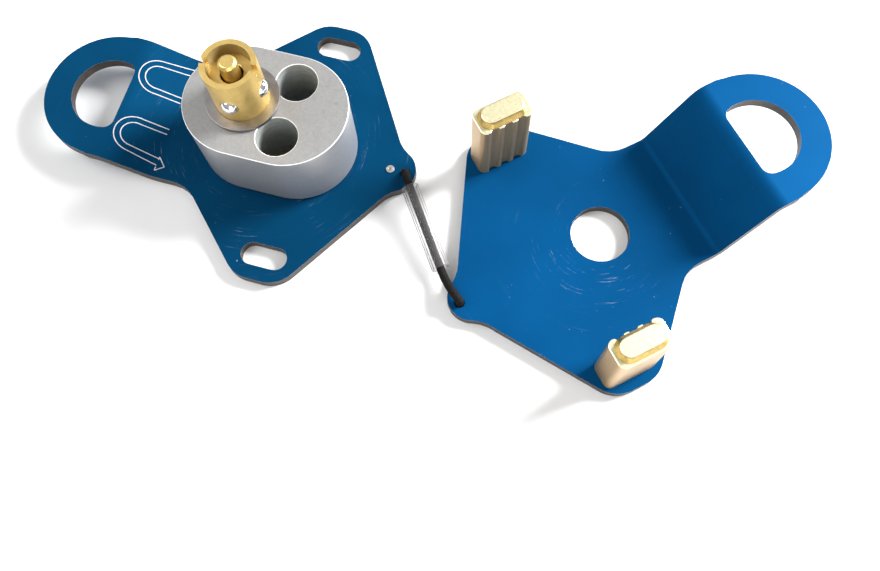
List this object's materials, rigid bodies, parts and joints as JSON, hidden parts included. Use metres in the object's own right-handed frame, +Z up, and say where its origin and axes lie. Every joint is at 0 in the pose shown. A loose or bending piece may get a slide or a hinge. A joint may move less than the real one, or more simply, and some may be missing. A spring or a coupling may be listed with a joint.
{
  "type": "rope belay device",
  "caption": "Open self-locking rescue belay: joggled side plates with D eyes, an oval cam on a ball-lock post, fluted brake blocks and a tether.",
  "frame": {"origin": "on the lock post's centre line, at the underside of the base plate", "axes": "+Z up along the lock post; +X from the post towards the base plate's tether hole, so the base plate's eye points to -X"},
  "size_m": [0.2251, 0.0956, 0.0431],
  "materials": {
    "plate_base": "blue anodised, satin",
    "plate_lid": "blue anodised, satin",
    "gold": "gold anodised, turned",
    "block_gold": "pale gold anodised",
    "steel": "plain",
    "washer_steel": "ground",
    "ball_steel": "polished",
    "bronze": "plain",
    "rivet": "bright",
    "cam_alu": "brushed",
    "cord": "braided black",
    "sleeve": "clear soft tube"
  },
  "bodies": {
    "base": {"base_plate": "plate_base", "post_body": "gold", "post_screw": "steel", "post_washer": "washer_steel", "thrust_washer": "bronze", "post_plug": "gold", "index_rivet": "rivet", "plunger_spring": "steel", "tether_cord_base": "cord", "bead_base": "cord"},
    "cam": {"cam": "cam_alu", "cam_bush": "bronze"},
    "button": {"button_plunger": "gold"},
    "ball_1": {"ball_1": "ball_steel"},
    "ball_2": {"ball_2": "ball_steel"},
    "ball_3": {"ball_3": "ball_steel"},
    "ball_4": {"ball_4": "ball_steel"},
    "tether": {"tether_sleeve": "sleeve", "tether_cord_mid": "cord"},
    "tether_end": {"tether_cord_lid": "cord"},
    "lid": {"lid_plate": "plate_lid", "brake_block_1": "block_gold", "brake_block_2": "block_gold", "block_screws": "steel", "bead_lid": "cord"}
  },
  "joints": [
    {"name": "cam_swing", "type": "hinge", "parent": "base", "child": "cam", "pos_m": [0, 0, 0.0143], "axis": [0, 0, 1], "range_deg": [-45, 45]},
    {"name": "button_press", "type": "slide", "parent": "base", "child": "button", "axis": [0, 0, -1], "range_m": [0, 0.003], "stiffness_N_per_m": 700, "springref_m": -0.004, "deforming": ["plunger_spring"]},
    {"name": "ball_1_slide", "type": "slide", "parent": "base", "child": "ball_1", "axis": [-0.9962, -0.0872, 0], "range_m": [0, 0.0015]},
    {"name": "ball_2_slide", "type": "slide", "parent": "base", "child": "ball_2", "axis": [0.0872, -0.9962, 0], "range_m": [0, 0.0015]},
    {"name": "ball_3_slide", "type": "slide", "parent": "base", "child": "ball_3", "axis": [0.9962, 0.0872, 0], "range_m": [0, 0.0015]},
    {"name": "ball_4_slide", "type": "slide", "parent": "base", "child": "ball_4", "axis": [-0.0872, 0.9962, 0], "range_m": [0, 0.0015]},
    {"name": "lid_shift", "type": "slide", "parent": "base", "child": "tether", "axis": [-0.3571, 0.9231, 0.1428], "range_m": [0, 0.04204], "deforming": ["tether_cord_base"]},
    {"name": "lid_flip", "type": "hinge", "parent": "tether", "child": "tether_end", "pos_m": [0.0597, -0.0215, 0.0202], "axis": [0.3608, -0.9326, 0], "range_deg": [0, 180], "deforming": ["tether_cord_lid"]},
    {"name": "lid_seat", "type": "slide", "parent": "tether_end", "child": "lid", "axis": [0, 0, 1], "range_m": [0, 0.017]}
  ],
  "couplings": [
    {"joint": "ball_1_slide", "follows": "button_press", "ratio": 0.5},
    {"joint": "ball_2_slide", "follows": "button_press", "ratio": 0.5},
    {"joint": "ball_3_slide", "follows": "button_press", "ratio": 0.5},
    {"joint": "ball_4_slide", "follows": "button_press", "ratio": 0.5},
    {"joint": "lid_shift", "follows": "lid_flip", "m_per_rad": 0.013379}
  ]
}
